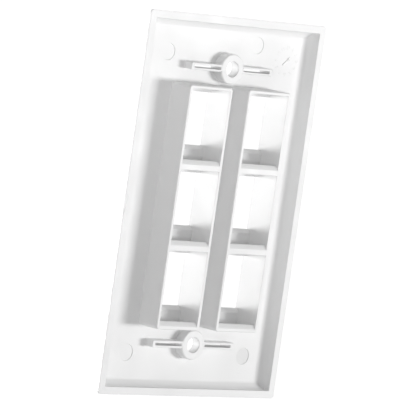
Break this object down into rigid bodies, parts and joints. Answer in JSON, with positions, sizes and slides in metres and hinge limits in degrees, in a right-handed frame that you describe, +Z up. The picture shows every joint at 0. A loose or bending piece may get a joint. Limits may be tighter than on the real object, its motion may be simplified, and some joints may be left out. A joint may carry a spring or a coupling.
{
  "type": "keystone faceplate",
  "caption": "Moulded single-gang wall plate with keystone jack ports in two columns and a screw hole at each end.",
  "frame": {"origin": "plate centre, midway between the screw holes, in the plane where the rim meets the wall", "axes": "+Z up the plate's long side, +Y out of the back into the wall, the visible face looks towards -Y, +X across the plate"},
  "size_m": [0.0698, 0.0105, 0.1142],
  "materials": {
    "white_plastic": "satin moulded white plastic"
  },
  "bodies": {
    "root": {"faceplate": "white_plastic"}
  },
  "joints": []
}
